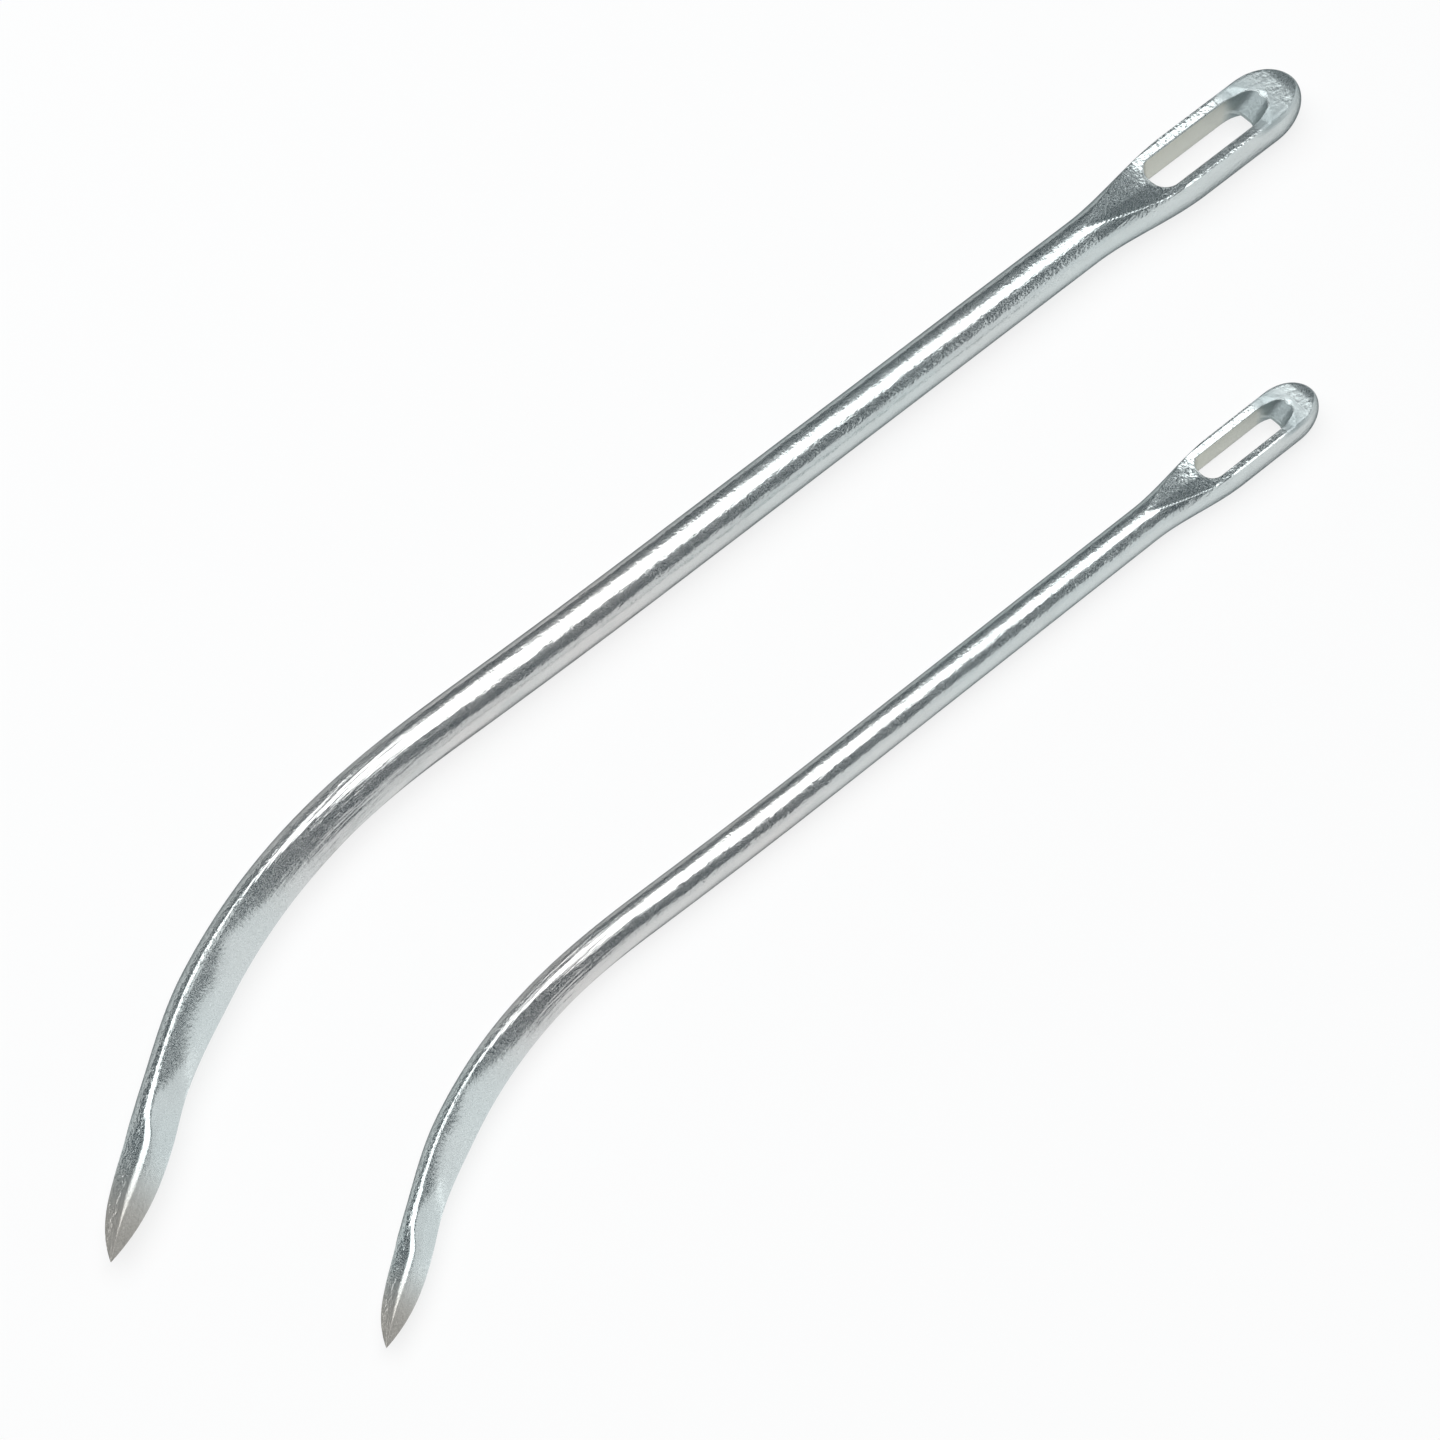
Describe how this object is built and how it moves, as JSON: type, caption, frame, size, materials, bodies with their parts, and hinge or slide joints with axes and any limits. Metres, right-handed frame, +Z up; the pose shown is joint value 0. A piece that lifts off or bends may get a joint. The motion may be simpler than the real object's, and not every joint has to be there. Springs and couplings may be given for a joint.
{
  "type": "sack needle",
  "caption": "Bent steel sack needles in a large and a small size, each with a flattened head pierced by a long eye, a round shank and a ground lance point, for sewing sacks with twine.",
  "frame": {"origin": "middle of the outline of both needles, on the surface that they lie on", "axes": "+X along both shanks towards the eyes, +Z up off the surface, the points bend towards -Y"},
  "size_m": [0.123, 0.0348, 0.0035],
  "materials": {
    "plated_steel": "polished steel wire with bright plating, faintly mottled, ground bare at the point"
  },
  "bodies": {
    "large_needle": {"large_blade": "plated_steel", "large_shank": "plated_steel", "large_eye": "plated_steel"},
    "small_needle": {"small_blade": "plated_steel", "small_shank": "plated_steel", "small_eye": "plated_steel"}
  },
  "joints": [
    {"name": "small_needle_lift", "type": "slide", "parent": "large_needle", "child": "small_needle", "axis": [0, 0, 1], "range_m": [0, 0.04]}
  ]
}
